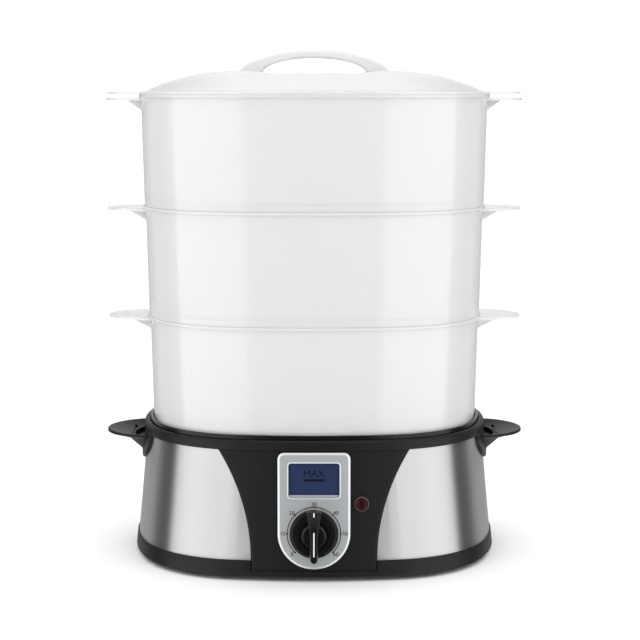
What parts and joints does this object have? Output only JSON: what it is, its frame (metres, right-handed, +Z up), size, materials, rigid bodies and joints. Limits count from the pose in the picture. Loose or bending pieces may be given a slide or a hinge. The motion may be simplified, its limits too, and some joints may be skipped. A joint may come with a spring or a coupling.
{
  "type": "electric food steamer",
  "caption": "Oval electric food steamer: steel-wrapped water base with timer knob, level window and scoop handles, under stacked translucent bowls and a domed lid.",
  "frame": {"origin": "on the floor under the middle of the whole footprint", "axes": "+Z up, front with the control panel faces -Y, +X to the right of a person facing the front"},
  "size_m": [0.3448, 0.2656, 0.41],
  "materials": {
    "black_plastic": "satin moulded",
    "brushed_steel": "fine horizontal brushing",
    "silver_paint": "silver lacquer, satin",
    "blue_window": "polished, tinted",
    "red_lens": "polished, tinted",
    "clear_glass": "clear",
    "rubber": "matt",
    "silicone": "matt",
    "plain_steel": "plain, bright",
    "aluminium": "plain",
    "white_plastic": "moulded",
    "frosted_plastic": "translucent, frosted",
    "frosted_lid": "translucent, frosted"
  },
  "bodies": {
    "base": {"bottom_cover": "black_plastic", "base_housing": "black_plastic", "water_tank": "black_plastic", "collar": "black_plastic", "steel_wrap": "brushed_steel", "front_fascia": "black_plastic", "control_bezel": "silver_paint", "level_window": "blue_window", "window_gasket": "rubber", "indicator_lens": "red_lens", "lamp_ring": "silver_paint", "neon_lamp": "clear_glass", "timer_case": "white_plastic", "timer_bell": "plain_steel", "timer_screws": "plain_steel", "heater_plate": "plain_steel", "heater_gasket": "silicone", "heating_element": "plain_steel", "heater_clamp": "plain_steel", "clamp_screws": "plain_steel", "thermostat": "aluminium", "thermal_fuse": "silicone", "terminal_block": "white_plastic", "cord_gland": "black_plastic", "base_screws": "plain_steel", "foot_front_left": "rubber", "foot_front_right": "rubber", "foot_rear_left": "rubber", "foot_rear_right": "rubber"},
    "timer_knob": {"timer_knob": "black_plastic", "timer_shaft": "plain_steel"},
    "steam_ring": {"steam_ring": "black_plastic"},
    "drip_tray": {"drip_tray": "black_plastic"},
    "bowl_1": {"bowl_1": "frosted_plastic"},
    "bowl_2": {"bowl_2": "frosted_plastic"},
    "bowl_3": {"bowl_3": "frosted_plastic"},
    "lid": {"lid": "frosted_lid"}
  },
  "joints": [
    {"name": "timer_turn", "type": "hinge", "parent": "base", "child": "timer_knob", "pos_m": [0, -0.11194, 0.0377], "axis": [0, -0.9989, 0.0465], "range_deg": [-135, 135]},
    {"name": "steam_ring_lift", "type": "slide", "parent": "base", "child": "steam_ring", "axis": [0, 0, 1], "range_m": [0, 0.09]},
    {"name": "drip_tray_lift", "type": "slide", "parent": "steam_ring", "child": "drip_tray", "axis": [0, 0, 1], "range_m": [0, 0.04]},
    {"name": "bowl_1_lift", "type": "slide", "parent": "drip_tray", "child": "bowl_1", "axis": [0, 0, 1], "range_m": [0, 0.06]},
    {"name": "bowl_2_lift", "type": "slide", "parent": "bowl_1", "child": "bowl_2", "axis": [0, 0, 1], "range_m": [0, 0.06]},
    {"name": "bowl_3_lift", "type": "slide", "parent": "bowl_2", "child": "bowl_3", "axis": [0, 0, 1], "range_m": [0, 0.06]},
    {"name": "lid_lift", "type": "slide", "parent": "bowl_3", "child": "lid", "axis": [0, 0, 1], "range_m": [0, 0.08]}
  ]
}
